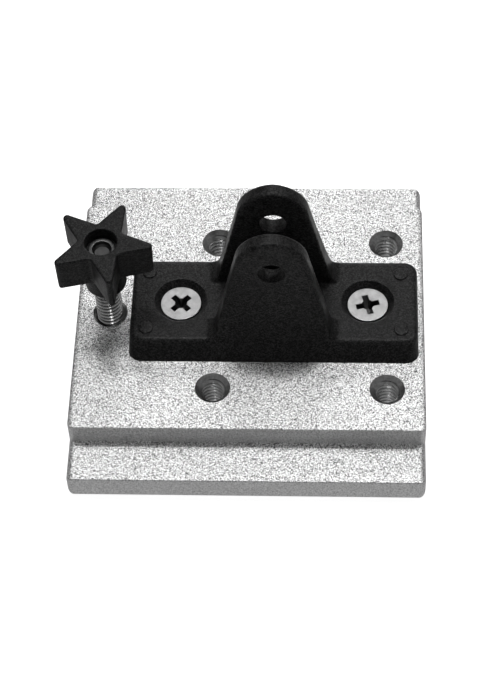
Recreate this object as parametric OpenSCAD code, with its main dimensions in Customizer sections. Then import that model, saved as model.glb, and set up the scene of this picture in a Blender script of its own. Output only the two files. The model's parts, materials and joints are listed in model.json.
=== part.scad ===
// Track slide plate with a clevis deck hinge and a star-knob clamp screw.
// Millimetres, +Z up.  The origin is the centre of the plate's underside,
// X runs along the track and Y across it.

/* [Slide plate] */
// Length of the plate along the track
plate_len = 84; // [80:1:110]
// Width of the plate across the track, flanges included
plate_wid = 88; // [80:1:110]
// Full thickness at the raised centre
plate_thk = 12.3; // [11:0.1:16]
// Thickness of the front and rear flanges that run under the track's lips
flange_thk = 6.6; // [4:0.1:8]
// Depth of each flange, from its outer edge to the raised centre
flange_dep = 10.75; // [8:0.25:14]
// Radius that softens the plate's long edges
plate_edge_r = 0.6; // [0.3:0.1:1]

/* [Tapped holes] */
// Core radius of the 1/4-20 accessory holes
tap_core_r = 2.6; // [2.5:0.05:2.7]
// Mouth radius of the countersinks on the threaded holes
tap_mouth_r = 4.2; // [3.6:0.1:4.6]
// Spacing of the accessory holes along X
tap_span_x = 41.2; // [38:0.1:44]
// Spacing of the accessory holes along Y
tap_span_y = 43.3; // [40:0.1:46]
// X of the middle of the accessory hole pattern
tap_mid_x = 12.35; // [10:0.05:14]

/* [Deck hinge] */
// X of the middle of the hinge
hinge_x = 5.9; // [5.8:0.1:7]
// Length of the hinge foot where it sits on the plate
foot_len = 69.2; // [66:0.1:69.4]
// Width of the hinge foot where it sits on the plate
foot_wid = 28.4; // [26:0.1:30]
// Height of the hinge foot
foot_h = 5.4; // [5:0.1:5.6]
// How far the foot's long walls lean in over their height
foot_draft = 2.4; // [1.5:0.1:2.6]
// How far the foot's end walls lean in over their height
foot_end_draft = 0.4; // [0.2:0.1:1]
// Plan radius of the foot's corners
foot_corner_r = 3; // [2:0.5:5]
// Distance between the two screws
screw_span = 44.85; // [44:0.05:46]
// Gap between the two ears
slot_wid = 10.8; // [10:0.1:12]
// Height of the ears above the plate
ear_h = 38.7; // [36:0.1:42]
// Thickness of an ear at its top
ear_top_thk = 3.7; // [3:0.1:4]
// Half width of an ear where it meets the foot
ear_half_low = 14; // [12:0.05:15]
// Half width of an ear at its top, before the corners are rounded
ear_half_top = 6.75; // [6.5:0.05:8]
// Radius of the ear's upper corners
ear_corner_r = 7; // [5:0.5:7.5]
// Radius of the 1/4 inch pin hole
pin_hole_r = 3.2; // [3.2:0.05:3.4]
// Height of the pin hole above the plate
pin_h = 28.2; // [27:0.1:30]

/* [Clamp screw] */
// X of the clamp screw
clamp_x = -33.9; // [-34.5:0.1:-33.9]
// Radius of the 1/4-20 stud over its threads
stud_r = 3.15; // [3.1:0.01:3.16]
// Height of the stud's tip above the underside, at rest
stud_tip_z = 0.6; // [0.2:0.1:2]
// Radial clearance between the stud and the parts round it
stud_gap = 0.07; // [0.03:0.01:0.09]
// Height of the knob hub's lower face above the plate, at rest
hub_h = 12.5; // [12:0.1:14]
// Radius of the knob's hub
hub_r = 4.9; // [4.5:0.1:4.9]
// Length of the knob's hub
hub_len = 5.9; // [5:0.1:8]
// Radius of the star over its tips, before they are rounded
star_tip_r = 14.1; // [13:0.1:14.2]
// Radius of the star at its valleys, before they are rounded
star_valley_r = 5.45; // [5.2:0.05:6]
// Thickness of the star
star_thk = 9.6; // [8:0.1:11]
// Turn of the star about the stud, in degrees
star_turn = -4.5; // [-36:0.5:36]

/* [Hidden] */
$fn = 64;
eps = 0.01;
arc_steps = 10;

plate_fillet_r = 0.8;
tap_sink_half_angle = 45;
screw_r = 2.35;
screw_hole_r = 2.4;
screw_len = 15.9;
head_r = 4.85;
head_gap = 0.05;
head_rim_h = 0.4;
seat_half_angle = 41;
head_h = (head_r - screw_r) / tan(seat_half_angle) + head_rim_h;
head_top_h = 4.15;
counterbore_r = 6.15;
shank_hole_r = 2.6;
phillips_len = 5;
phillips_wid = 1.25;
phillips_dep = 1.7;
pad_r = 1.75;
pad_h = 0.3;
pad_span_x = 60.7;
pad_span_y = 16.4;
star_tip_round = 0.95;
star_valley_round = 0.9;
star_arms = 5;
star_top_h = hub_h + hub_len + star_thk;
recess_r = 3.75;
recess_dep = 2.6;
stud_top_z = plate_thk + star_top_h - recess_dep;
stud_chamfer = 0.5;
socket_r = 2.05;
socket_dep = 1.2;

// One corner of an outline, replaced by an arc of radius r
function corner_arc(before, corner, after, r) =
    let (u = (before - corner) / norm(before - corner))
    let (w = (after - corner) / norm(after - corner))
    let (half = acos(u * w) / 2)
    let (centre = corner + (u + w) / norm(u + w) * r / sin(half))
    let (from = corner + u * r / tan(half) - centre)
    let (to = corner + w * r / tan(half) - centre)
    let (start = atan2(from[1], from[0]))
    let (raw = atan2(to[1], to[0]) - start)
    let (sweep = raw > 180 ? raw - 360 : raw < -180 ? raw + 360 : raw)
    [for (i = [0 : arc_steps])
        centre + r * [cos(start + sweep * i / arc_steps), sin(start + sweep * i / arc_steps)]];

// A closed outline whose corners have the radii given; a radius of 0 keeps the corner
function rounded(points, radii) =
    let (n = len(points))
    [for (i = [0 : n - 1])
        each (radii[i] > 0
            ? corner_arc(points[(i + n - 1) % n], points[i], points[(i + 1) % n], radii[i])
            : [points[i]])];

// Half of a mirror-symmetric outline, then the other half in reverse
function mirrored(half) =
    concat(half, [for (i = [len(half) - 1 : -1 : 0]) [-half[i][0], half[i][1]]]);

// Outward face of an ear at height h above the plate: upright at the top, flaring to the foot's wall
function ear_face(h) =
    let (top_face = slot_wid / 2 + ear_top_thk)
    let (foot_face = foot_wid / 2 - foot_draft)
    top_face + (foot_face - top_face) * pow((ear_h - h) / (ear_h - foot_h), 3);

function star_point(i) =
    let (r = i % 2 == 0 ? star_tip_r : star_valley_r)
    r * [cos(180 / star_arms * i), sin(180 / star_arms * i)];

module at_taps() {
    for (sx = [-1, 1], sy = [-1, 1])
        translate([tap_mid_x + sx * tap_span_x / 2, sy * tap_span_y / 2, 0])
            children();
}

module at_screw(side) {
    translate([hinge_x + side * screw_span / 2, 0, 0])
        children();
}

module threaded_hole(core_r, mouth_r) {
    sink_dep = (mouth_r - core_r) / tan(tap_sink_half_angle);
    translate([0, 0, -1])
        cylinder(r = core_r, h = plate_thk + 2);
    translate([0, 0, plate_thk - sink_dep])
        cylinder(r1 = core_r, r2 = mouth_r + eps, h = sink_dep + eps);
}

module plate_section() {
    half_wid = plate_wid / 2;
    half_top = half_wid - flange_dep;
    corners = mirrored([[half_wid, 0], [half_wid, flange_thk], [half_top, flange_thk],
                        [half_top, plate_thk]]);
    radii_half = [plate_edge_r, plate_edge_r, plate_fillet_r, plate_edge_r];
    radii = concat(radii_half, [for (i = [3 : -1 : 0]) radii_half[i]]);
    polygon(rounded(corners, radii));
}

module slide_block() {
    color("silver")
        difference() {
            rotate([90, 0, 90])
                linear_extrude(height = plate_len, center = true)
                    plate_section();
            at_taps()
                threaded_hole(tap_core_r, tap_mouth_r);
            translate([clamp_x, 0, 0])
                threaded_hole(stud_r + stud_gap, tap_mouth_r);
            for (side = [-1, 1])
                at_screw(side)
                    threaded_hole(screw_hole_r, screw_hole_r + 0.6);
        }
}

module foot() {
    x = foot_len / 2;
    y = foot_wid / 2;
    radii = [for (i = [0 : 3]) foot_corner_r];
    narrowing = [1 - foot_end_draft / x, 1 - foot_draft / y];
    linear_extrude(height = foot_h, scale = narrowing)
        polygon(rounded([[x, -y], [x, y], [-x, y], [-x, -y]], radii));
}

module ear_outline() {
    corners = [[ear_half_low, foot_h], [ear_half_top, ear_h], [-ear_half_top, ear_h],
               [-ear_half_low, foot_h], [-ear_half_low, foot_h / 2], [ear_half_low, foot_h / 2]];
    polygon(rounded(corners, [0, ear_corner_r, ear_corner_r, 0, 0, 0]));
}

module ear_side() {
    steps = 8;
    rise = ear_h - foot_h;
    polygon(concat([[slot_wid / 2, ear_h + 1], [slot_wid / 2, foot_h / 2],
                    [ear_face(foot_h), foot_h / 2]],
                   [for (i = [0 : steps]) let (h = foot_h + rise * i / steps) [ear_face(h), h]],
                   [[ear_face(ear_h), ear_h + 1]]));
}

module ear() {
    intersection() {
        translate([0, foot_wid / 2, 0])
            rotate([90, 0, 0])
                linear_extrude(height = foot_wid)
                    ear_outline();
        rotate([90, 0, 90])
            linear_extrude(height = foot_len, center = true)
                ear_side();
    }
}

module hinge_bracket() {
    color([0.1, 0.1, 0.11])
        difference() {
            translate([hinge_x, 0, plate_thk]) {
                foot();
                ear();
                mirror([0, 1, 0])
                    ear();
                moulding_pads();
            }
            translate([hinge_x, 0, plate_thk + pin_h])
                rotate([90, 0, 0])
                    cylinder(r = pin_hole_r, h = foot_wid + 2, center = true);
            for (side = [-1, 1])
                at_screw(side)
                    screw_seat();
        }
}

module moulding_pads() {
    for (sx = [-1, 1], sy = [-1, 1])
        translate([sx * pad_span_x / 2, sy * pad_span_y / 2, foot_h - eps])
            cylinder(r = pad_r, h = pad_h + eps);
}

module screw_seat() {
    seat_h = (counterbore_r - shank_hole_r) / tan(seat_half_angle);
    head_seat_h = (head_r + head_gap - shank_hole_r) / tan(seat_half_angle);
    seat_z = plate_thk + head_top_h - head_rim_h - head_seat_h;
    translate([0, 0, plate_thk - 1])
        cylinder(r = shank_hole_r, h = foot_h);
    translate([0, 0, seat_z])
        cylinder(r1 = shank_hole_r, r2 = counterbore_r, h = seat_h);
    translate([0, 0, seat_z + seat_h])
        cylinder(r = counterbore_r, h = foot_h);
}

module bracket_screw(turn) {
    top_z = plate_thk + head_top_h;
    tip_h = 0.7;
    color("gainsboro")
        difference() {
            union() {
                translate([0, 0, top_z - head_rim_h])
                    cylinder(r = head_r, h = head_rim_h);
                translate([0, 0, top_z - head_h])
                    cylinder(r1 = screw_r, r2 = head_r, h = head_h - head_rim_h);
                translate([0, 0, top_z - screw_len + tip_h])
                    cylinder(r = screw_r, h = screw_len - head_h - tip_h + eps);
                translate([0, 0, top_z - screw_len])
                    cylinder(r1 = screw_r - tip_h, r2 = screw_r, h = tip_h);
            }
            for (a = [0, 90])
                rotate(turn + a)
                    translate([-phillips_len / 2, -phillips_wid / 2, top_z - phillips_dep])
                        cube([phillips_len, phillips_wid, phillips_dep + 1]);
        }
}

module bracket_screw_left() {
    at_screw(-1)
        bracket_screw(45);
}

module bracket_screw_right() {
    at_screw(1)
        bracket_screw(15);
}

module clamp_stud() {
    color("lightgray")
        translate([clamp_x, 0, 0])
            difference() {
                union() {
                    translate([0, 0, stud_tip_z])
                        cylinder(r1 = stud_r - stud_chamfer, r2 = stud_r, h = stud_chamfer);
                    translate([0, 0, stud_tip_z + stud_chamfer])
                        cylinder(r = stud_r, h = stud_top_z - stud_tip_z - stud_chamfer);
                }
                translate([0, 0, stud_top_z - socket_dep])
                    cylinder(r = socket_r, h = socket_dep + 1);
            }
}

module star_knob() {
    radii = [for (i = [0 : 2 * star_arms - 1]) i % 2 == 0 ? star_tip_round : star_valley_round];
    outline = [for (i = [0 : 2 * star_arms - 1]) star_point(i)];
    color([0.12, 0.12, 0.13])
        translate([clamp_x, 0, plate_thk + hub_h])
            difference() {
                union() {
                    cylinder(r = hub_r, h = hub_len + eps);
                    translate([0, 0, hub_len])
                        rotate(star_turn)
                            linear_extrude(height = star_thk)
                                polygon(rounded(outline, radii));
                }
                translate([0, 0, -1])
                    cylinder(r = stud_r + stud_gap, h = star_top_h);
                translate([0, 0, hub_len + star_thk - recess_dep])
                    cylinder(r = recess_r, h = recess_dep + 1);
            }
}

slide_block();
hinge_bracket();
bracket_screw_left();
bracket_screw_right();
clamp_stud();
star_knob();
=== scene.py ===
"""Looks for the track slide plate with its clevis deck hinge and star-knob clamp screw.

Every visible piece is built here as a finished mesh and stands for the CAD node of the same size.
Lengths below are in millimetres and become metres when a mesh is made.
"""

import json
import math

import bmesh
import bpy
import numpy as np
from mathutils import Matrix, Vector


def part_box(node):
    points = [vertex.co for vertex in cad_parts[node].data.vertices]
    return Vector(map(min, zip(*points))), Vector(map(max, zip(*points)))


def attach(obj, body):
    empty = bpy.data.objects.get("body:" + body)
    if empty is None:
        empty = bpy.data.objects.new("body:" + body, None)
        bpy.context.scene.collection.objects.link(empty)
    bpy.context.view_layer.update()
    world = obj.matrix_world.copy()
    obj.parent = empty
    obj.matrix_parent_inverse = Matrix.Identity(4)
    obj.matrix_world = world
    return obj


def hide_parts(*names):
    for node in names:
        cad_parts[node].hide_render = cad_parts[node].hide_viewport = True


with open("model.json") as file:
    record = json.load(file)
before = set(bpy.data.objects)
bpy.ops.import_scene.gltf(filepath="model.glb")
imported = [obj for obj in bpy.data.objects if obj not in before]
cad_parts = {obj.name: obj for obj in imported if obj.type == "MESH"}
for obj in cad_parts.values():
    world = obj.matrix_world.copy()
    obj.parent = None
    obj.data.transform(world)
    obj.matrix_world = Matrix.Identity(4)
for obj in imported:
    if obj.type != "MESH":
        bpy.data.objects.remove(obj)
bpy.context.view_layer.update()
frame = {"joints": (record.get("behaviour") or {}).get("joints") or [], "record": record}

MM = 0.001
MOUNTS = {m["name"]: m for m in frame["record"]["mounts"]}
JOINTS = {j["name"]: j for j in frame["joints"]}


def box_mm(node):
    """A CAD node's lowest and highest corners, in millimetres."""
    low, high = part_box(node)
    return Vector(low) / MM, Vector(high) / MM


# ---------------------------------------------------------------- sizes read from the frame

PLATE_LOW, PLATE_HIGH = box_mm("slide_block")
HINGE_LOW, HINGE_HIGH = box_mm("hinge_bracket")
STUD_LOW, STUD_HIGH = box_mm("clamp_stud")
KNOB_LOW, KNOB_HIGH = box_mm("star_knob")
PLATE_TOP = PLATE_HIGH.z
FLANGE_TOP = MOUNTS["track_slide"]["pos_m"][2] / MM
HINGE_X = (HINGE_LOW.x + HINGE_HIGH.x) / 2
EAR_H = HINGE_HIGH.z - PLATE_TOP
PIN_R = MOUNTS["hinge_pin_bore"]["dims"]["r_mm"]
PIN_H = MOUNTS["hinge_pin_bore"]["pos_m"][2] / MM - PLATE_TOP
CLAMP_X = JOINTS["knob_turn"]["pos_m"][0] / MM
TAPS = MOUNTS["accessory_holes"]
SCREW_NODES = ("bracket_screw_left", "bracket_screw_right")

# ---------------------------------------------------------------- sizes of the detail
#
# Names in _R are radii, in _H heights above the plate's top, and in _PLAY clearances. OVERCUT is how far
# a cutter reaches past the face that it opens.

OVERCUT = 1.0

FLANGE_DEPTH = 10.75
PLATE_END_R = 1.5
PLATE_TOP_SHARE = 0.35
PLATE_LONG_R = 0.35
THREAD_PITCH = 1.27
THREAD_CREST_R = 3.15
THREAD_ROOT_R = 2.5
TAP_PLAY = 0.05
CLAMP_PLAY = 0.1
TAP_MOUTH_R = 4.2
SCREW_HOLE_R = 2.4

FOOT_H = 5.4
FOOT_DRAFT = 2.4
FOOT_END_DRAFT = 0.4
FOOT_CORNER_R = 3.0
EDGE_R = 0.8
EAR_HALF_LOW = 14.0
EAR_HALF_TOP = 6.75
EAR_CORNER_R = 7.0
EAR_TOP_THICKNESS = 3.7
EAR_FLARE_R = 2.2
SLOT_HALF = 5.4
SLOT_EDGE_R = 0.5
SLOT_FILLET_R = 0.6
COUNTERBORE_R = 6.15
SEAT_SLOPE = math.tan(math.radians(41))
SEAT_HOLE_R = 2.6
HEAD_R = 4.85
HEAD_PLAY = 0.05
HEAD_TOP_H = 4.15
HEAD_RIM = 0.4
SHANK_R = 2.35
PAD_R = 1.75
PAD_RISE = 0.3
PAD_AT = (30.35, 8.2)

CROSS_DEPTH = 2.7
CROSS_EDGE = 0.1
CROSS_REACH = 2.8
CROSS_HALF_WIDTH = 0.68
CROSS_HEART_R = 1.4
CROSS_SLOPE = math.tan(math.radians(26.5))

HUB_R = 4.9
HUB_LEN = 5.9
HUB_EDGE_R = 0.5
HUB_FILLET_R = 0.8
STAR_EDGE_R = 0.45
STAR_DRAFT_SLOPE = 0.02
STAR_TIP_R = 14.1
STAR_VALLEY_R = 5.45
STAR_TIP_ROUND = 0.95
STAR_VALLEY_ROUND = 0.9
STAR_TURN = math.radians(-4.5)
STAR_ARMS = 5
RECESS_R = 3.75
RECESS_DEPTH = 2.6
STUD_PLAY = 0.07
STUD_HOLLOW_R = 2.15
STUD_HOLLOW_DEPTH = 1.5


# ---------------------------------------------------------------- mesh tools


def new_object(name, verts, faces, material):
    """A mesh object from points in millimetres."""
    mesh = bpy.data.meshes.new(name)
    mesh.from_pydata([tuple(c * MM for c in v) for v in verts], [], faces)
    mesh.update()
    mesh.materials.append(material)
    obj = bpy.data.objects.new(name, mesh)
    bpy.context.scene.collection.objects.link(obj)
    return obj


def lathe(name, profile, material, at=(0, 0, 0), segments=64):
    """A closed solid turned about Z from (radius, height) points, which start and end on the axis."""
    verts = [(0, 0, profile[0][1])]
    rings = profile[1:-1]
    for r, z in rings:
        for j in range(segments):
            a = 2 * math.pi * j / segments
            verts.append((r * math.cos(a), r * math.sin(a), z))
    verts.append((0, 0, profile[-1][1]))
    faces = []
    last = len(verts) - 1
    for j in range(segments):
        k = (j + 1) % segments
        faces.append((0, 1 + k, 1 + j))
        for i in range(len(rings) - 1):
            a, b = 1 + i * segments, 1 + (i + 1) * segments
            faces.append((a + j, a + k, b + k, b + j))
        top = 1 + (len(rings) - 1) * segments
        faces.append((top + j, top + k, last))
    verts = [(x + at[0], y + at[1], z + at[2]) for x, y, z in verts]
    return new_object(name, verts, faces, material)


def quarter_arc(centre, radius, start, end, steps=5):
    """Points of an arc in a (radius, height) profile, with angles in degrees."""
    angles = [math.radians(start + (end - start) * i / steps) for i in range(steps + 1)]
    return [(centre[0] + radius * math.cos(a), centre[1] + radius * math.sin(a)) for a in angles]


def thread_solid(name, material, root_r, crest_r, low, high, at, columns=48):
    """A right-hand threaded rod about Z. Its helix is fixed to z = 0, so that all threads are in phase.
    The stations are (share of the pitch, radius) along the thread's profile."""
    stations = ((0.0, root_r), (0.25, root_r), (0.56, crest_r), (0.69, crest_r))
    first = math.floor(low / THREAD_PITCH) - 1
    turns = math.ceil(high / THREAD_PITCH) + 1 - first
    per_turn = len(stations)
    rows = turns * per_turn + 1
    verts = []
    for i in range(rows):
        share, r = stations[i % per_turn]
        z = (first + i // per_turn + share) * THREAD_PITCH
        for j in range(columns):
            a = 2 * math.pi * j / columns
            verts.append((r * math.cos(a), r * math.sin(a), z + THREAD_PITCH * j / columns))
    faces = []
    for i in range(rows - 1):
        for j in range(columns - 1):
            a, b = i * columns + j, (i + 1) * columns + j
            faces.append((a, a + 1, b + 1, b))
    for i in range(rows - 1 - per_turn):
        a, b = i * columns + columns - 1, (i + 1) * columns + columns - 1
        faces.append((a, (i + per_turn) * columns, (i + 1 + per_turn) * columns, b))
    low_loop = [j for j in range(columns)] + [i * columns for i in range(per_turn, 0, -1)]
    top = rows - 1
    step = [i * columns + columns - 1 for i in range(top - per_turn, top)]
    high_loop = [top * columns + j for j in range(columns - 1, -1, -1)] + step
    for loop, z in ((low_loop, verts[0][2] - 1), (high_loop, verts[-1][2] + 1)):
        centre = len(verts)
        verts.append((0, 0, z))
        for k in range(len(loop)):
            faces.append((centre, loop[(k + 1) % len(loop)], loop[k]))
    verts = [(x + at[0], y + at[1], z) for x, y, z in verts]
    obj = new_object(name, verts, faces, material)
    fix_normals(obj)
    return obj


def fix_normals(obj):
    work = bmesh.new()
    work.from_mesh(obj.data)
    bmesh.ops.recalc_face_normals(work, faces=work.faces)
    work.to_mesh(obj.data)
    work.free()


def combine(obj, other, how):
    """Applies a boolean of obj with other, and removes other. The cut faces keep the cutter's material."""
    modifier = obj.modifiers.new("combine", "BOOLEAN")
    modifier.operation = how
    modifier.solver = "MANIFOLD"
    modifier.material_mode = "TRANSFER"
    modifier.object = other
    settle(obj)
    bpy.data.objects.remove(other)
    return obj


def settle(obj):
    """Replaces obj's mesh with what its modifiers make of it."""
    depsgraph = bpy.context.evaluated_depsgraph_get()
    mesh = bpy.data.meshes.new_from_object(obj.evaluated_get(depsgraph))
    mesh.name = obj.name
    obj.modifiers.clear()
    obj.data = mesh


def shade(obj, sharp_degrees):
    """Smooth shading that keeps edges sharper than the angle given."""
    obj.data.shade_smooth()
    obj.data.set_sharp_from_angle(angle=math.radians(sharp_degrees))
    weighted = obj.modifiers.new("weighted", "WEIGHTED_NORMAL")
    weighted.keep_sharp = True


def surface_of(name, material, field, low, high, cell):
    """The zero surface of a distance field in millimetres, as a quad mesh drawn onto it exactly."""
    low, high = np.array(low, float), np.array(high, float)
    counts = np.ceil((high - low) / cell).astype(int) + 1
    axes = [low[k] + cell * np.arange(counts[k]) for k in range(3)]
    grid = np.meshgrid(*axes, indexing="ij")
    values = field(*grid)
    shape = counts - 1
    total = np.zeros((*shape, 3))
    hits = np.zeros(shape)
    crossings = []
    for axis in range(3):
        a = np.take(values, range(shape[axis]), axis)
        b = np.take(values, range(1, counts[axis]), axis)
        crossed = (a < 0) != (b < 0)
        share = np.where(crossed, a / np.where(crossed, a - b, 1), 0)
        point = [np.take(g, range(shape[axis]), axis) for g in grid]
        point[axis] = point[axis] + share * cell
        others = [k for k in range(3) if k != axis]
        for first in (0, 1):
            for second in (0, 1):
                part = [slice(None)] * 3
                part[others[0]] = slice(first, first + shape[others[0]])
                part[others[1]] = slice(second, second + shape[others[1]])
                part = tuple(part)
                hits += crossed[part]
                for k in range(3):
                    total[..., k] += point[k][part] * crossed[part]
        crossings.append((crossed, a < 0))
    active = hits > 0
    number = -np.ones(shape, int)
    number[active] = np.arange(active.sum())
    points = total[active] / hits[active][:, None]
    faces = []
    for axis in range(3):
        crossed, inside = crossings[axis]
        u, v = [k for k in range(3) if k != axis]
        if axis == 1:
            u, v = v, u
        index = np.argwhere(crossed)
        keep = (index[:, u] > 0) & (index[:, v] > 0) & (index[:, u] < shape[u]) & (index[:, v] < shape[v])
        index = index[keep]
        du, dv = np.eye(3, dtype=int)[u], np.eye(3, dtype=int)[v]
        ring = [index - du - dv, index - dv, index, index - du]
        quad = np.stack([number[tuple(r.T)] for r in ring], axis=1)
        flip = ~inside[tuple(index.T)]
        quad[flip] = quad[flip][:, ::-1]
        faces.extend(quad.tolist())
    rounds, least_slope_squared, longest_step = 4, 0.2, cell / 3
    for _ in range(rounds):
        value = field(*points.T)
        gradient = field_gradient(field, points, cell / 50)
        slope_squared = np.maximum((gradient**2).sum(1), least_slope_squared)
        step = (value / slope_squared)[:, None] * gradient
        points = points - np.clip(step, -longest_step, longest_step)
    return new_object(name, points.tolist(), faces, material)


def field_gradient(field, points, h):
    columns = []
    for k in range(3):
        offset = np.zeros(3)
        offset[k] = h
        columns.append((field(*(points + offset).T) - field(*(points - offset).T)) / (2 * h))
    return np.stack(columns, axis=1)


def meet(a, b, r):
    """The overlap of two fields, with the edge between them rounded to radius r."""
    corner = np.hypot(np.maximum(a + r, 0), np.maximum(b + r, 0))
    return np.minimum(-r, np.maximum(a, b)) + corner


def join(a, b, r):
    """The union of two fields, with a fillet of radius r where they meet."""
    return -meet(-a, -b, r)


def fillet_reach(height, r):
    """How far a concave fillet of radius r stands out from a wall, at a height above the floor."""
    t = np.clip(r - height, 0, r)
    return r - np.sqrt(np.maximum(r * r - t * t, 0))


# ---------------------------------------------------------------- camera

CAMERA_AT = Vector((20.6, -299.8, 426.5)) * MM
CAMERA_PITCH = math.radians(54.68)
CAMERA_YAW = math.radians(-3.99)
CAMERA_ROLL = math.radians(2.79)
CAMERA_LENS = 112.8


def make_camera():
    data = bpy.data.cameras.new("camera")
    data.lens = CAMERA_LENS
    data.sensor_width = 36
    data.clip_start, data.clip_end = 0.01, 20
    camera = bpy.data.objects.new("camera", data)
    bpy.context.scene.collection.objects.link(camera)
    turn = Matrix.Rotation(-CAMERA_YAW, 4, "Z")
    tilt = Matrix.Rotation(math.pi / 2 - CAMERA_PITCH, 4, "X")
    roll = Matrix.Rotation(-CAMERA_ROLL, 4, "Z")
    camera.matrix_world = Matrix.Translation(CAMERA_AT) @ turn @ tilt @ roll
    bpy.context.scene.camera = camera


make_camera()


# ---------------------------------------------------------------- materials


class Nodes:
    """A short way to write a node tree for one Principled material."""

    def __init__(self, name, **values):
        self.material = bpy.data.materials.new(name)
        self.material.use_nodes = True
        self.tree = self.material.node_tree
        self.shader = self.tree.nodes["Principled BSDF"]
        for key, value in values.items():
            self.shader.inputs[key.replace("_", " ")].default_value = value
        coordinates = self.add("ShaderNodeTexCoord")
        self.position, self.normal = coordinates.outputs["Object"], coordinates.outputs["Normal"]

    def add(self, kind, links=None, **settings):
        node = self.tree.nodes.new(kind)
        for key, value in settings.items():
            if key in node.bl_rna.properties:
                setattr(node, key, value)
            else:
                node.inputs[key.replace("_", " ")].default_value = value
        for key, socket in (links or {}).items():
            self.tree.links.new(socket, node.inputs[key])
        return node

    def noise(self, size_mm, detail=2.0, roughness=0.5):
        """Noise whose features are about size_mm across. It seldom leaves the range 0.3 to 0.7."""
        return self.add("ShaderNodeTexNoise", {"Vector": self.position}, Scale=0.5 / (size_mm * MM),
                        Detail=detail, Roughness=roughness).outputs["Fac"]

    def cells(self, size_mm):
        """A random value for each of the close-packed cells about size_mm across."""
        cells = self.add("ShaderNodeTexVoronoi", {"Vector": self.position}, Scale=1 / (size_mm * MM))
        return self.add("ShaderNodeSeparateColor", {"Color": cells.outputs["Color"]}).outputs["Red"]

    def ramp(self, value, low, high, out_low, out_high):
        return self.add("ShaderNodeMapRange", {"Value": value}, From_Min=low, From_Max=high,
                        To_Min=out_low, To_Max=out_high).outputs["Result"]

    def vary(self, size_mm, low, high, detail=2.0, roughness=0.5):
        """Noise stretched to run from low to high."""
        return self.ramp(self.noise(size_mm, detail, roughness), 0.3, 0.7, low, high)

    def grey(self, value):
        return self.add("ShaderNodeCombineColor", {"Red": value, "Green": value, "Blue": value}).outputs[0]

    def maths(self, how, *sources):
        node = self.add("ShaderNodeMath", operation=how)
        for k, source in enumerate(sources):
            if isinstance(source, (int, float)):
                node.inputs[k].default_value = source
            else:
                self.tree.links.new(source, node.inputs[k])
        return node.outputs[0]

    def split(self, vector):
        return self.add("ShaderNodeSeparateXYZ", {"Vector": vector}).outputs

    def by_reach(self, x_mm, y_mm, near_mm, far_mm, at_near, at_far):
        """A value that runs from at_near to at_far with the distance from an upright line."""
        x, y, _ = self.split(self.position)
        offsets = (self.maths("SUBTRACT", x, x_mm * MM), self.maths("SUBTRACT", y, y_mm * MM))
        squares = [self.maths("MULTIPLY", k, k) for k in offsets]
        reach = self.maths("SQRT", self.maths("ADD", *squares))
        return self.ramp(reach, near_mm * MM, far_mm * MM, at_near, at_far)

    def drive(self, socket, source):
        self.tree.links.new(source, self.shader.inputs[socket])

    def bump(self, height, depth_mm):
        return self.add("ShaderNodeBump", {"Height": height}, Distance=depth_mm * MM).outputs["Normal"]


def blasted_aluminium():
    """Bead blasting: dense shallow dimples, each bright or dark as a lit facet would face, painted into the
    colour: partly the blast's grain and partly painted glints and shade. The painted speckle is strongest on
    upward faces, where the lamps fall; the sides are smoother and duller."""
    m = Nodes("blasted_aluminium", Metallic=1.0)
    # Painted light: the dimple speckle is full strength on upward faces, where the lamps fall, and fainter on
    # the sides.
    speckle_by_facing = m.ramp(m.maths("ABSOLUTE", m.split(m.normal)[2]), 0.6, 0.95, 0.45, 1.0)
    dimples = m.ramp(m.cells(0.14), 0.24, 0.6, 1.0, 0.0)
    # The dark cells are partly the blast's grain and partly painted glints and shade standing in for lit and
    # shaded facets.
    painted_glint_speckle = m.maths("SUBTRACT", 1.0, m.maths("MULTIPLY", dimples, speckle_by_facing))
    m.drive("Base Color", m.grey(m.maths("MULTIPLY", painted_glint_speckle, m.vary(9.0, 0.94, 1.0, 3.0))))
    m.drive("Roughness", m.vary(0.7, 0.46, 0.52))
    m.drive("Normal", m.bump(m.noise(0.2, 1.0, 0.6), 0.05))
    return m.material


def machined_aluminium():
    """The countersinks, cut clean and then blasted a little. The tone is kept low, a painted shade for the
    dark hole mouths.
    """
    m = Nodes("machined_aluminium", Metallic=1.0)
    # Painted shade: a low tone, so that the countersinks and hole walls read dark.
    m.drive("Base Color", m.grey(m.vary(0.35, 0.3, 0.52, 2.0, 0.6)))
    m.drive("Roughness", m.vary(0.5, 0.28, 0.4))
    m.drive("Normal", m.bump(m.noise(0.3, 2.0, 0.6), 0.02))
    return m.material


def tapped_aluminium(x_mm, y_mm):
    """The wall of the tapped hole at a point: crests in the metal's tone, and roots darkened, a painted shade
    in the thread roots.
    """
    m = Nodes("tapped_aluminium", Metallic=1.0)
    # Painted shade: the colour darkens from the crests down into the thread roots.
    painted_root_shade = m.by_reach(x_mm, y_mm, THREAD_ROOT_R + 0.1, THREAD_CREST_R, 0.62, 0.1)
    m.drive("Base Color", m.grey(m.maths("MULTIPLY", painted_root_shade, m.vary(1.5, 0.85, 1.1, 3.0))))
    m.drive("Roughness", m.vary(0.6, 0.24, 0.36))
    m.drive("Normal", m.bump(m.noise(0.3, 2.0, 0.6), 0.012))
    return m.material


def moulded_black(name, tone, roughness, grain_mm, depth_mm):
    """Moulded plastic with a fine spark-eroded texture."""
    m = Nodes(name, Specular_IOR_Level=0.17)
    cloud = m.vary(6.0, tone * 0.85, tone * 1.2, 3.0, 0.55)
    grain = m.ramp(m.cells(grain_mm), 0.3, 1.0, 0.1, 3.0)
    m.drive("Base Color", m.grey(m.maths("MULTIPLY", cloud, grain)))
    m.drive("Roughness", m.vary(1.2, roughness - 0.05, roughness + 0.07))
    m.drive("Normal", m.bump(m.noise(grain_mm, 2.0, 0.6), depth_mm))
    return m.material


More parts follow.
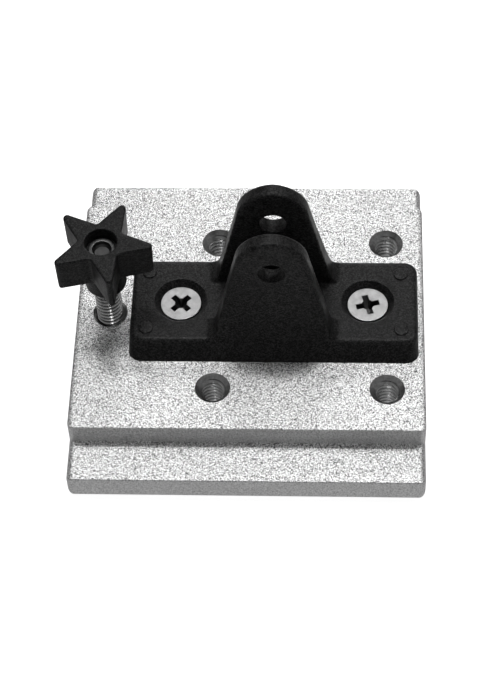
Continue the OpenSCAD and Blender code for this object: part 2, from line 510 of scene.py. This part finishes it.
def turned_steel(name, tone, roughness):
    m = Nodes(name, Metallic=1.0)
    m.drive("Base Color", m.grey(m.vary(0.8, tone * 0.8, tone * 1.1, 3.0, 0.6)))
    m.drive("Roughness", m.vary(0.3, roughness - 0.06, roughness + 0.08))
    m.drive("Normal", m.bump(m.noise(0.25, 2.0, 0.6), 0.01))
    return m.material


def threaded_steel():
    """Thread crests bright, over roots darkened, a painted shade in the thread roots."""
    m = Nodes("stud_steel", Metallic=1.0)
    # Painted shade: the colour darkens from the crests down into the thread roots.
    painted_root_shade = m.by_reach(CLAMP_X, 0, THREAD_ROOT_R + 0.25, THREAD_CREST_R - 0.07, 0.1, 0.8)
    m.drive("Base Color", m.grey(m.maths("MULTIPLY", painted_root_shade, m.vary(0.8, 0.8, 1.1, 3.0))))
    m.drive("Roughness", m.vary(0.4, 0.16, 0.28))
    m.drive("Normal", m.bump(m.noise(0.3, 2.0, 0.6), 0.008))
    return m.material


ALUMINIUM = blasted_aluminium()
MACHINED = machined_aluminium()
NYLON = moulded_black("black_nylon", 0.01, 0.34, 0.24, 0.1)
KNOB_PLASTIC = moulded_black("knob_plastic", 0.008, 0.4, 0.24, 0.08)
SCREW_STEEL = turned_steel("screw_steel", 0.47, 0.36)
# Painted shade: a near-black steel for the cross recesses and the stud's end deep in the knob, where shade
# falls.
PAINTED_SHADE_STEEL = turned_steel("painted_shade_steel", 0.12, 0.34)
STUD_STEEL = threaded_steel()


def finish_piece(obj, node, body, sharp_degrees):
    """Hands a finished mesh to the frame in its CAD node's place."""
    shade(obj, sharp_degrees)
    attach(obj, body)
    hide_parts(node)


# ---------------------------------------------------------------- slide plate


def plate_section(inset):
    """The T section's outline in (y, z), with its long edges rounded, drawn in by an inset. The raised top
    draws in by less, as its ends are sharper."""
    half = (PLATE_HIGH.y - PLATE_LOW.y) / 2 - inset
    top = half - FLANGE_DEPTH
    high = PLATE_TOP - PLATE_TOP_SHARE * inset
    r = PLATE_LONG_R
    side = quarter_arc((half - r, inset + r), r, -90, 0, 3)
    side += quarter_arc((half - r, FLANGE_TOP - inset - r), r, 0, 90, 3)
    side.append((top, FLANGE_TOP - inset))
    side += quarter_arc((top - r, high - r), r, 0, 90, 3)
    return side + [(-y, z) for y, z in reversed(side)]


def plate_blank():
    """The T section swept along X. Its outline draws in at both ends, which rounds their edges."""
    rounding = quarter_arc((PLATE_HIGH.x - PLATE_END_R, PLATE_END_R), PLATE_END_R, 0, -90, 5)
    rings = [(-x, inset) for x, inset in rounding] + rounding[::-1]
    verts = []
    for x, inset in rings:
        verts += [(x, y, z) for y, z in plate_section(inset)]
    count = len(verts) // len(rings)
    faces = [tuple(range(count)), tuple(range(len(verts) - 1, len(verts) - count - 1, -1))]
    for i in range(0, len(verts) - count, count):
        for j in range(count):
            k = (j + 1) % count
            faces.append((i + j, i + j + count, i + k + count, i + k))
    plate = new_object("slide_plate", verts, faces, ALUMINIUM)
    fix_normals(plate)
    return plate


def cut_threaded_hole(plate, x, y, crest_r, root_r):
    """A right through thread with a countersunk mouth."""
    cutter = thread_solid("thread_cutter", tapped_aluminium(x, y), root_r, crest_r, -OVERCUT,
                          PLATE_TOP + OVERCUT, (x, y))
    combine(plate, cutter, "DIFFERENCE")
    mouth = TAP_MOUTH_R - root_r
    point_share = 0.4
    sink = [(0, -mouth - root_r), (root_r * point_share, -mouth - root_r * (1 - point_share)),
            (TAP_MOUTH_R + OVERCUT, OVERCUT), (0, OVERCUT)]
    combine(plate, lathe("sink", sink, MACHINED, (x, y, PLATE_TOP)), "DIFFERENCE")
    relief_r = crest_r + 0.25
    relief = [(0, -OVERCUT), (relief_r + OVERCUT, -OVERCUT), (0, root_r)]
    combine(plate, lathe("relief", relief, MACHINED, (x, y, 0)), "DIFFERENCE")


def make_plate():
    plate = plate_blank()
    centre = [c / MM for c in TAPS["pos_m"]]
    for sx in (-1, 1):
        for sy in (-1, 1):
            x = centre[0] + sx * TAPS["dims"]["spacing_x_mm"] / 2
            y = centre[1] + sy * TAPS["dims"]["spacing_y_mm"] / 2
            cut_threaded_hole(plate, x, y, THREAD_CREST_R + TAP_PLAY, THREAD_ROOT_R + TAP_PLAY)
    cut_threaded_hole(plate, CLAMP_X, 0, THREAD_CREST_R + CLAMP_PLAY, THREAD_ROOT_R + CLAMP_PLAY)
    for node in SCREW_NODES:
        low, high = box_mm(node)
        x = (low.x + high.x) / 2
        high_end = PLATE_TOP + OVERCUT
        hole = [(0, -OVERCUT), (SCREW_HOLE_R, -OVERCUT), (SCREW_HOLE_R, high_end), (0, high_end)]
        combine(plate, lathe("screw_hole", hole, MACHINED, (x, 0, 0)), "DIFFERENCE")
    finish_piece(plate, "slide_block", "plate", 30)


# ---------------------------------------------------------------- hinge bracket


def hinge_field(x, y, z):
    """Seen from the front, the foot's flat top flares up into the ears. One rounding runs round the foot,
    up the flares and over the ears. The slot then parts the two ears."""
    above = z - FOOT_H
    taper = (EAR_HALF_LOW - EAR_HALF_TOP) / (EAR_H - FOOT_H)
    ear_side = (np.abs(x) - EAR_HALF_LOW + taper * above) / math.hypot(1, taper)
    skyline = join(meet(ear_side, z - EAR_H, EAR_CORNER_R), above, EAR_FLARE_R)
    climb = np.minimum(z, FOOT_H) / FOOT_H
    half_x = (HINGE_HIGH.x - HINGE_LOW.x) / 2 - FOOT_END_DRAFT * climb
    foot_half = (HINGE_HIGH.y - HINGE_LOW.y) / 2
    top_face = SLOT_HALF + EAR_TOP_THICKNESS
    drop = np.clip((EAR_H - z) / (EAR_H - FOOT_H), 0, 1)
    ear_face = top_face + (foot_half - FOOT_DRAFT - top_face) * drop**3
    half_y = np.where(above < 0, foot_half - FOOT_DRAFT * climb, ear_face)
    over_x, over_y = np.abs(x) - half_x + FOOT_CORNER_R, np.abs(y) - half_y + FOOT_CORNER_R
    wall = np.hypot(np.maximum(over_x, 0), np.maximum(over_y, 0))
    wall = wall + np.minimum(np.maximum(over_x, over_y), 0) - FOOT_CORNER_R
    whole = np.maximum(meet(skyline, wall, EDGE_R), -OVERCUT - z)
    slot_wall = SLOT_HALF - fillet_reach(above, SLOT_FILLET_R)
    ears = meet(whole, slot_wall - np.abs(y), SLOT_EDGE_R)
    return np.minimum(np.maximum(whole, above), ears)


def make_hinge():
    half_x = (HINGE_HIGH.x - HINGE_LOW.x) / 2
    half_y = (HINGE_HIGH.y - HINGE_LOW.y) / 2
    margin = 1.0
    cell = 0.5
    hinge = surface_of("deck_hinge", NYLON, hinge_field, (-half_x - margin, -half_y - margin, -1.5),
                       (half_x + margin, half_y + margin, EAR_H + margin), cell)
    hinge.data.transform(Matrix.Translation(Vector((HINGE_X, 0, PLATE_TOP)) * MM))
    wide, deep = 60, 5
    below = [(0, -deep), (wide, -deep), (wide, 0), (0, 0)]
    combine(hinge, lathe("below", below, NYLON, (HINGE_X, 0, PLATE_TOP)), "DIFFERENCE")
    past_ears = 20
    bore = lathe("bore", [(0, -past_ears), (PIN_R, -past_ears), (PIN_R, past_ears), (0, past_ears)], NYLON)
    bore.data.transform(Matrix.Rotation(math.pi / 2, 4, "X"))
    bore.data.transform(Matrix.Translation(Vector((HINGE_X, 0, PLATE_TOP + PIN_H)) * MM))
    combine(hinge, bore, "DIFFERENCE")
    for node in SCREW_NODES:
        low, high = box_mm(node)
        at = ((low.x + high.x) / 2, 0, PLATE_TOP)
        rim = 0.25
        head_seat_h = HEAD_TOP_H - HEAD_RIM
        seat_low = head_seat_h - (HEAD_R + HEAD_PLAY - SEAT_HOLE_R) / SEAT_SLOPE
        seat_high = seat_low + (COUNTERBORE_R - SEAT_HOLE_R) / SEAT_SLOPE
        lip = quarter_arc((COUNTERBORE_R + rim, FOOT_H - rim), rim, 180, 90, 3)
        above_foot = FOOT_H + 2
        profile = [(0, -OVERCUT), (SEAT_HOLE_R, -OVERCUT), (SEAT_HOLE_R, seat_low)]
        profile += [(COUNTERBORE_R, seat_high)] + lip
        profile += [(COUNTERBORE_R + rim, above_foot), (0, above_foot)]
        combine(hinge, lathe("seat", profile, NYLON, at), "DIFFERENCE")
    for sx in (-1, 1):
        for sy in (-1, 1):
            at = (HINGE_X + sx * PAD_AT[0], sy * PAD_AT[1], PLATE_TOP + FOOT_H)
            round_r = 0.2
            edge = quarter_arc((PAD_R - round_r, PAD_RISE - round_r), round_r, 0, 90, 3)
            pad = lathe("pad", [(0, -1), (PAD_R, -1)] + edge + [(0, PAD_RISE)], NYLON, at, 32)
            combine(hinge, pad, "UNION")
    finish_piece(hinge, "hinge_bracket", "plate", 48)


# ---------------------------------------------------------------- bracket screws


def phillips_cutter(top_z, x, turn):
    """A cross recess: two steep-ended blades and a hollow cone in the middle, below a burnished edge. The
    recess walls take the near-black steel, a painted shade; the edge keeps the head's steel.
    """
    shoulder, flank_slope = 1.9, 0.06
    tip_reach, tip_narrowing = 0.7, 0.25
    flare = OVERCUT + CROSS_EDGE
    parts = []
    for k in range(2):
        levels = [(z, CROSS_REACH + z * CROSS_SLOPE, CROSS_HALF_WIDTH + z * flank_slope)
                  for z in (-shoulder, -CROSS_EDGE)]
        levels.append((-CROSS_DEPTH, tip_reach, CROSS_HALF_WIDTH - tip_narrowing))
        levels.append((OVERCUT, CROSS_REACH + flare, CROSS_HALF_WIDTH + flare))
        verts = [(sx * w, sy * t, z) for z, w, t in sorted(levels)
                 for sx, sy in ((-1, -1), (1, -1), (1, 1), (-1, 1))]
        last = len(verts) - 4
        faces = [(3, 2, 1, 0), (last, last + 1, last + 2, last + 3)]
        for i in range(0, last, 4):
            for j in range(4):
                m = (j + 1) % 4
                faces.append((i + j, i + m, i + m + 4, i + j + 4))
        # Painted shade: the blades' faces darken the recess walls.
        blade = new_object("blade", verts, faces, PAINTED_SHADE_STEEL)
        blade.data.transform(Matrix.Rotation(turn + k * math.pi / 2, 4, "Z"))
        fix_normals(blade)
        parts.append(blade)
    waist = (0.95, -1.3)
    bowl = [(0, -CROSS_DEPTH - 0.1), waist, (CROSS_HEART_R, -CROSS_EDGE),
            (CROSS_HEART_R + flare, OVERCUT), (0, OVERCUT)]
    cutter = combine(parts[0], parts[1], "UNION")
    combine(cutter, lathe("bowl", bowl, PAINTED_SHADE_STEEL, segments=24), "UNION")
    cutter.data.materials.append(SCREW_STEEL)
    bright = [m.name for m in cutter.data.materials].index(SCREW_STEEL.name)
    for face in cutter.data.polygons:
        if face.center.z > -CROSS_EDGE * MM:
            face.material_index = bright
    cutter.data.transform(Matrix.Translation(Vector((x, 0, top_z)) * MM))
    return cutter


def make_screw(name, node, turn_degrees):
    low, high = box_mm(node)
    x, top_z = (low.x + high.x) / 2, high.z
    tip, round_r = 0.7, 0.12
    cone_depth = (HEAD_R - SHANK_R) / SEAT_SLOPE
    length = top_z - low.z
    edge = quarter_arc((HEAD_R - round_r, -round_r), round_r, 0, 90, 3)
    profile = [(0, -length), (SHANK_R - tip, -length), (SHANK_R, -length + tip),
               (SHANK_R, -HEAD_RIM - cone_depth), (HEAD_R, -HEAD_RIM)] + edge + [(0, 0)]
    screw = lathe(name, profile, SCREW_STEEL, (x, 0, top_z), 72)
    combine(screw, phillips_cutter(top_z, x, math.radians(turn_degrees)), "DIFFERENCE")
    finish_piece(screw, node, "plate", 30)


# ---------------------------------------------------------------- clamp screw


def make_stud():
    """A threaded stud with a chamfered tip, plain where it is held in the knob, and hollow at its top end."""
    hub_z = KNOB_LOW.z
    stud = thread_solid("clamp_screw_stud", STUD_STEEL, THREAD_ROOT_R, THREAD_CREST_R, STUD_LOW.z - 2,
                        hub_z + 3, (CLAMP_X, 0), 64)
    tip = THREAD_CREST_R - THREAD_ROOT_R + 0.15
    outer_r, into_hub = THREAD_CREST_R + 0.01, hub_z + 2
    envelope = [(0, STUD_LOW.z), (THREAD_CREST_R - tip, STUD_LOW.z), (outer_r, STUD_LOW.z + tip),
                (outer_r, into_hub), (0, into_hub)]
    combine(stud, lathe("envelope", envelope, STUD_STEEL, (CLAMP_X, 0, 0)), "INTERSECT")
    rim, mouth_r, floor_r = 0.2, 0.25, 0.4
    top = STUD_HIGH.z
    floor_z = top - STUD_HOLLOW_DEPTH
    shank = [(0, hub_z + 1), (THREAD_CREST_R, hub_z + 1), (THREAD_CREST_R, top - rim)]
    shank += quarter_arc((THREAD_CREST_R - rim, top - rim), rim, 15, 90, 4)
    shank += quarter_arc((STUD_HOLLOW_R + mouth_r, top - mouth_r), mouth_r, 90, 165, 3)
    shank += [(STUD_HOLLOW_R, floor_z + floor_r), (STUD_HOLLOW_R - floor_r, floor_z), (0, floor_z)]
    # Painted shade: the stud's top end, deep in the knob's recess, takes the near-black steel.
    combine(stud, lathe("shank", shank, PAINTED_SHADE_STEEL, (CLAMP_X, 0, 0)), "UNION")
    finish_piece(stud, "clamp_stud", "clamp_screw", 35)


def star_field(x, y):
    """Distance to the five-armed outline. Half an arm, repeated by folding the plane, is a tip arc,
    a straight flank and a valley arc."""
    sector = 2 * math.pi / STAR_ARMS
    tip = np.array([STAR_TIP_R, 0.0])
    to_valley = np.array([math.cos(sector / 2), math.sin(sector / 2)])
    valley = STAR_VALLEY_R * to_valley
    along = (tip - valley) / np.linalg.norm(tip - valley)
    normal = np.array([-along[1], along[0]])
    tip_centre = tip * (1 - STAR_TIP_ROUND / (normal @ tip))
    valley_centre = to_valley * (STAR_VALLEY_R + STAR_VALLEY_ROUND / (normal @ to_valley))
    radius, angle = np.hypot(x, y), np.arctan2(y, x) - STAR_TURN
    folded = np.abs((angle + sector / 2) % sector - sector / 2)
    px, py = radius * np.cos(folded), radius * np.sin(folded)

    def how_far(point):
        """How far a point is along the flank, from the valley to the tip."""
        return (point[0] - valley[0]) * along[0] + (point[1] - valley[1]) * along[1]

    place = how_far((px, py))
    flank = (px - tip[0]) * normal[0] + (py - tip[1]) * normal[1]
    tip_arc = np.hypot(px - tip_centre[0], py - tip_centre[1]) - STAR_TIP_ROUND
    valley_arc = STAR_VALLEY_ROUND - np.hypot(px - valley_centre[0], py - valley_centre[1])
    past_tip, past_valley = place > how_far(tip_centre), place < how_far(valley_centre)
    return np.where(past_tip, tip_arc, np.where(past_valley, valley_arc, flank))


def knob_field(x, y, z):
    height = KNOB_HIGH.z - KNOB_LOW.z
    hub = meet(np.hypot(x, y) - HUB_R, -z, HUB_EDGE_R)
    hub_inside_star = 1.0
    hub = np.maximum(hub, z - height + hub_inside_star)
    draft = STAR_DRAFT_SLOPE * (z - height)
    star = meet(star_field(x, y) - draft, z - height, STAR_EDGE_R)
    star = meet(star, HUB_LEN - z, STAR_EDGE_R)
    return join(hub, star, HUB_FILLET_R)


def make_knob():
    height = KNOB_HIGH.z - KNOB_LOW.z
    reach = 12.6  # past the rounded tips
    cell = 0.3
    knob = surface_of("star_grip", KNOB_PLASTIC, knob_field, (-reach, -reach, -1),
                      (reach, reach, height + 1), cell)
    knob.data.transform(Matrix.Translation(Vector((CLAMP_X, 0, KNOB_LOW.z)) * MM))
    rim = 0.3
    lip = quarter_arc((RECESS_R + rim, height - rim), rim, 180, 90, 3)
    floor_z = height - RECESS_DEPTH - 0.4
    bore_r, floor_r = THREAD_CREST_R + STUD_PLAY, RECESS_R - 0.15
    profile = [(0, -OVERCUT), (bore_r, -OVERCUT), (bore_r, floor_z), (floor_r, floor_z)]
    profile += lip + [(RECESS_R + rim, height + OVERCUT), (0, height + OVERCUT)]
    combine(knob, lathe("knob_bore", profile, KNOB_PLASTIC, (CLAMP_X, 0, KNOB_LOW.z)), "DIFFERENCE")
    finish_piece(knob, "star_knob", "knob", 45)


make_plate()
make_hinge()
make_screw("cross_screw_left", SCREW_NODES[0], 45)
make_screw("cross_screw_right", SCREW_NODES[1], 15)
make_stud()
make_knob()


# ---------------------------------------------------------------- floor and light


def make_floor():
    """A white sweep. It is left out of reflections, so that the front of the object keeps its contrast."""
    m = Nodes("floor", Roughness=0.9, Specular_IOR_Level=0.1, Emission_Color=(1, 1, 1, 1),
              Emission_Strength=0.8)
    m.drive("Base Color", m.grey(m.vary(40.0, 0.86, 0.88)))
    size = 6000
    corners = [(-size, -size, 0), (size, -size, 0), (size, size, 0), (-size, size, 0)]
    floor = new_object("floor", corners, [(0, 1, 2, 3)], m.material)
    floor.visible_glossy = False


def make_light(name, elevation, azimuth, distance, size, power):
    """A square soft box aimed at the plate. Its angles are in degrees, and its azimuth runs from +Y to +X."""
    data = bpy.data.lights.new(name, "AREA")
    data.size = size
    data.energy = power
    up, around = math.radians(elevation), math.radians(azimuth)
    towards = Vector((math.cos(up) * math.sin(around), math.cos(up) * math.cos(around), math.sin(up)))
    light = bpy.data.objects.new(name, data)
    light.location = towards * distance
    light.rotation_euler = towards.to_track_quat("Z", "Y").to_euler()
    bpy.context.scene.collection.objects.link(light)


def make_world():
    """A dim room: palest below, where a white table would be, and dark overhead."""
    world = bpy.data.worlds.new("studio")
    bpy.context.scene.world = world
    world.use_nodes = True
    tree = world.node_tree
    direction = tree.nodes.new("ShaderNodeTexCoord").outputs["Generated"]
    split = tree.nodes.new("ShaderNodeSeparateXYZ")
    ramp = tree.nodes.new("ShaderNodeMapRange")
    ramp.interpolation_type = "SMOOTHSTEP"
    for key, value in (("From Min", -0.7), ("From Max", 0.4), ("To Min", 0.38), ("To Max", 0.21)):
        ramp.inputs[key].default_value = value
    tree.links.new(direction, split.inputs[0])
    tree.links.new(split.outputs["Z"], ramp.inputs["Value"])
    tree.links.new(ramp.outputs["Result"], tree.nodes["Background"].inputs["Strength"])
    tree.nodes["Background"].inputs["Color"].default_value = (1, 1, 1, 1)


make_floor()
make_world()
# The overhead lamp is small and casts the crisp shadow along the step. The front one only adds glints.
make_light("overhead", 77, 0, 0.85, 0.07, 1.2)
make_light("left", 68, 307, 0.75, 0.19, 0.9)
make_light("right", 61, 52, 0.75, 0.24, 0.95)
make_light("back", 33, 0, 0.45, 0.18, 0.33)
make_light("front", 64, 184, 0.75, 0.07, 0.12)

bpy.context.scene.view_settings.view_transform = "Standard"
